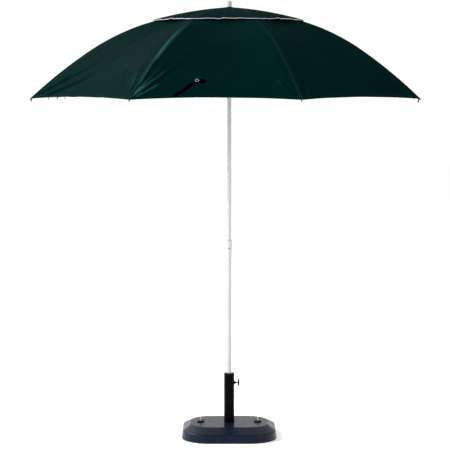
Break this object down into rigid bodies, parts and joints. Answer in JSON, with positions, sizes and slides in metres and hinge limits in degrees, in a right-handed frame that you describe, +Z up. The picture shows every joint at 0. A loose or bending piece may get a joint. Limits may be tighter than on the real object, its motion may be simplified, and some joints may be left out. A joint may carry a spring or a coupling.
{
  "type": "patio umbrella with base",
  "caption": "Upright round patio umbrella with a domed vented canopy on folding ribs, a telescoping pole and a square weighted base with a clamped tube.",
  "frame": {"origin": "centre of the base's underside, on the pole's axis", "axes": "+Z up along the pole, -Y the front as pictured, +X the side of the clamp screw"},
  "size_m": [2.0078, 2.0078, 2.285],
  "materials": {
    "base_plastic": "moulded, slightly glossy, fine grain",
    "fill": "wet sand",
    "tube_paint": "gloss black enamel",
    "sleeve_plastic": "moulded black",
    "zinc": "zinc plated",
    "black_plastic": "moulded black",
    "seal_rubber": "soft black",
    "cap_plastic": "moulded dark grey with a worn grip",
    "pole_paint": "gloss white powder coat",
    "white_plastic": "moulded white",
    "grey_plastic": "moulded grey",
    "rib_steel": "white coated steel rod",
    "cloth": "plain woven polyester, dark bottle green",
    "webbing": "narrow woven strap",
    "finial_plastic": "translucent white"
  },
  "bodies": {
    "stand": {"base_shell": "base_plastic", "ballast": "fill", "base_tube": "tube_paint", "tube_sleeve": "sleeve_plastic", "clamp_nut": "tube_paint"},
    "seal_left": {"cap_seal_left": "seal_rubber"},
    "cap_left": {"filler_cap_left": "cap_plastic"},
    "seal_right": {"cap_seal_right": "seal_rubber"},
    "cap_right": {"filler_cap_right": "cap_plastic"},
    "pad": {"clamp_pad": "black_plastic"},
    "screw": {"clamp_screw": "zinc", "clamp_handle": "black_plastic"},
    "lower": {"lower_pole": "pole_paint", "height_collar": "white_plastic"},
    "collar_press": {"collar_button": "grey_plastic"},
    "upper": {"upper_pole": "pole_paint", "top_hub": "white_plastic", "hub_pins": "zinc", "crown_washer": "black_plastic", "finial": "finial_plastic"},
    "runner": {"runner": "white_plastic", "runner_pins": "zinc"},
    "runner_press": {"runner_button": "grey_plastic"},
    "rib_1": {"rib_1": "rib_steel", "rib_tip_1": "black_plastic", "canopy_panel_1": "cloth", "closing_strap": "webbing", "strap_ring": "zinc"},
    "stretcher_1": {"stretcher_1": "rib_steel"},
    "rib_2": {"rib_2": "rib_steel", "rib_tip_2": "black_plastic", "canopy_panel_2": "cloth"},
    "stretcher_2": {"stretcher_2": "rib_steel"},
    "rib_3": {"rib_3": "rib_steel", "rib_tip_3": "black_plastic", "canopy_panel_3": "cloth"},
    "stretcher_3": {"stretcher_3": "rib_steel"},
    "rib_4": {"rib_4": "rib_steel", "rib_tip_4": "black_plastic", "canopy_panel_4": "cloth"},
    "stretcher_4": {"stretcher_4": "rib_steel"},
    "rib_5": {"rib_5": "rib_steel", "rib_tip_5": "black_plastic", "canopy_panel_5": "cloth"},
    "stretcher_5": {"stretcher_5": "rib_steel"},
    "rib_6": {"rib_6": "rib_steel", "rib_tip_6": "black_plastic", "canopy_panel_6": "cloth"},
    "stretcher_6": {"stretcher_6": "rib_steel"},
    "rib_7": {"rib_7": "rib_steel", "rib_tip_7": "black_plastic", "canopy_panel_7": "cloth"},
    "stretcher_7": {"stretcher_7": "rib_steel"},
    "rib_8": {"rib_8": "rib_steel", "rib_tip_8": "black_plastic", "canopy_panel_8": "cloth"},
    "stretcher_8": {"stretcher_8": "rib_steel"}
  },
  "joints": [
    {"name": "seal_left_lift", "type": "slide", "parent": "stand", "child": "seal_left", "axis": [0, 0, 1], "range_m": [0, 0.018]},
    {"name": "cap_left_turn", "type": "hinge", "parent": "seal_left", "child": "cap_left", "pos_m": [-0.151, 0, 0.08], "axis": [0, 0, 1], "range_deg": [0, 2160]},
    {"name": "seal_right_lift", "type": "slide", "parent": "stand", "child": "seal_right", "axis": [0, 0, 1], "range_m": [0, 0.018]},
    {"name": "cap_right_turn", "type": "hinge", "parent": "seal_right", "child": "cap_right", "pos_m": [0.151, 0, 0.08], "axis": [0, 0, 1], "range_deg": [0, 2160]},
    {"name": "pad_slide", "type": "slide", "parent": "stand", "child": "pad", "axis": [1, 0, 0], "range_m": [0, 0.009]},
    {"name": "screw_turn", "type": "hinge", "parent": "pad", "child": "screw", "pos_m": [0.035, 0, 0.28], "axis": [1, 0, 0], "range_deg": [0, 2160]},
    {"name": "pole_lift", "type": "slide", "parent": "stand", "child": "lower", "axis": [0, 0, 1], "range_m": [0, 0.3]},
    {"name": "collar_press", "type": "slide", "parent": "lower", "child": "collar_press", "axis": [0, 1, 0], "range_m": [0, 0.0012], "stiffness_N_per_m": 400},
    {"name": "height_slide", "type": "slide", "parent": "lower", "child": "upper", "axis": [0, 0, 1], "range_m": [-0.3, 0]},
    {"name": "runner_slide", "type": "slide", "parent": "upper", "child": "runner", "axis": [0, 0, 1], "range_m": [-0.33305, 0]},
    {"name": "runner_press", "type": "slide", "parent": "runner", "child": "runner_press", "axis": [0.4462, 0.8949, 0], "range_m": [0, 0.0015], "stiffness_N_per_m": 400},
    {"name": "rib_1_fold", "type": "hinge", "parent": "upper", "child": "rib_1", "pos_m": [-0.01562, -0.03132, 2.2308], "axis": [0.8949, -0.4462, 0], "range_deg": [0, 64.05], "deforming": ["canopy_panel_1", "closing_strap", "strap_ring"]},
    {"name": "stretcher_1_swing", "type": "hinge", "parent": "runner", "child": "stretcher_1", "pos_m": [-0.01339, -0.02685, 1.84], "axis": [0.8949, -0.4462, 0], "range_deg": [-31.1, 0]},
    {"name": "rib_2_fold", "type": "hinge", "parent": "upper", "child": "rib_2", "pos_m": [0.01111, -0.03319, 2.2308], "axis": [0.9483, 0.3173, 0], "range_deg": [0, 64.05], "deforming": ["canopy_panel_2"]},
    {"name": "stretcher_2_swing", "type": "hinge", "parent": "runner", "child": "stretcher_2", "pos_m": [0.00952, -0.02845, 1.84], "axis": [0.9483, 0.3173, 0], "range_deg": [-31.1, 0]},
    {"name": "rib_3_fold", "type": "hinge", "parent": "upper", "child": "rib_3", "pos_m": [0.03132, -0.01562, 2.2308], "axis": [0.4462, 0.8949, 0], "range_deg": [0, 64.05], "deforming": ["canopy_panel_3"]},
    {"name": "stretcher_3_swing", "type": "hinge", "parent": "runner", "child": "stretcher_3", "pos_m": [0.02685, -0.01339, 1.84], "axis": [0.4462, 0.8949, 0], "range_deg": [-31.1, 0]},
    {"name": "rib_4_fold", "type": "hinge", "parent": "upper", "child": "rib_4", "pos_m": [0.03319, 0.01111, 2.2308], "axis": [-0.3173, 0.9483, 0], "range_deg": [0, 64.05], "deforming": ["canopy_panel_4"]},
    {"name": "stretcher_4_swing", "type": "hinge", "parent": "runner", "child": "stretcher_4", "pos_m": [0.02845, 0.00952, 1.84], "axis": [-0.3173, 0.9483, 0], "range_deg": [-31.1, 0]},
    {"name": "rib_5_fold", "type": "hinge", "parent": "upper", "child": "rib_5", "pos_m": [0.01562, 0.03132, 2.2308], "axis": [-0.8949, 0.4462, 0], "range_deg": [0, 64.05], "deforming": ["canopy_panel_5"]},
    {"name": "stretcher_5_swing", "type": "hinge", "parent": "runner", "child": "stretcher_5", "pos_m": [0.01339, 0.02685, 1.84], "axis": [-0.8949, 0.4462, 0], "range_deg": [-31.1, 0]},
    {"name": "rib_6_fold", "type": "hinge", "parent": "upper", "child": "rib_6", "pos_m": [-0.01111, 0.03319, 2.2308], "axis": [-0.9483, -0.3173, 0], "range_deg": [0, 64.05], "deforming": ["canopy_panel_6"]},
    {"name": "stretcher_6_swing", "type": "hinge", "parent": "runner", "child": "stretcher_6", "pos_m": [-0.00952, 0.02845, 1.84], "axis": [-0.9483, -0.3173, 0], "range_deg": [-31.1, 0]},
    {"name": "rib_7_fold", "type": "hinge", "parent": "upper", "child": "rib_7", "pos_m": [-0.03132, 0.01562, 2.2308], "axis": [-0.4462, -0.8949, 0], "range_deg": [0, 64.05], "deforming": ["canopy_panel_7"]},
    {"name": "stretcher_7_swing", "type": "hinge", "parent": "runner", "child": "stretcher_7", "pos_m": [-0.02685, 0.01339, 1.84], "axis": [-0.4462, -0.8949, 0], "range_deg": [-31.1, 0]},
    {"name": "rib_8_fold", "type": "hinge", "parent": "upper", "child": "rib_8", "pos_m": [-0.03319, -0.01111, 2.2308], "axis": [0.3173, -0.9483, 0], "range_deg": [0, 64.05], "deforming": ["canopy_panel_8"]},
    {"name": "stretcher_8_swing", "type": "hinge", "parent": "runner", "child": "stretcher_8", "pos_m": [-0.02845, -0.00952, 1.84], "axis": [0.3173, -0.9483, 0], "range_deg": [-31.1, 0]}
  ],
  "couplings": [
    {"joint": "cap_left_turn", "follows": "seal_left_lift", "rad_per_m": 2094.4},
    {"joint": "cap_right_turn", "follows": "seal_right_lift", "rad_per_m": 2094.4},
    {"joint": "screw_turn", "follows": "pad_slide", "rad_per_m": 4188.8},
    {"joint": "rib_1_fold", "follows": "runner_slide", "rad_per_m": -3.3538},
    {"joint": "stretcher_1_swing", "follows": "runner_slide", "rad_per_m": 1.6269},
    {"joint": "rib_2_fold", "follows": "runner_slide", "rad_per_m": -3.3538},
    {"joint": "stretcher_2_swing", "follows": "runner_slide", "rad_per_m": 1.6269},
    {"joint": "rib_3_fold", "follows": "runner_slide", "rad_per_m": -3.3538},
    {"joint": "stretcher_3_swing", "follows": "runner_slide", "rad_per_m": 1.6269},
    {"joint": "rib_4_fold", "follows": "runner_slide", "rad_per_m": -3.3538},
    {"joint": "stretcher_4_swing", "follows": "runner_slide", "rad_per_m": 1.6269},
    {"joint": "rib_5_fold", "follows": "runner_slide", "rad_per_m": -3.3538},
    {"joint": "stretcher_5_swing", "follows": "runner_slide", "rad_per_m": 1.6269},
    {"joint": "rib_6_fold", "follows": "runner_slide", "rad_per_m": -3.3538},
    {"joint": "stretcher_6_swing", "follows": "runner_slide", "rad_per_m": 1.6269},
    {"joint": "rib_7_fold", "follows": "runner_slide", "rad_per_m": -3.3538},
    {"joint": "stretcher_7_swing", "follows": "runner_slide", "rad_per_m": 1.6269},
    {"joint": "rib_8_fold", "follows": "runner_slide", "rad_per_m": -3.3538},
    {"joint": "stretcher_8_swing", "follows": "runner_slide", "rad_per_m": 1.6269}
  ]
}
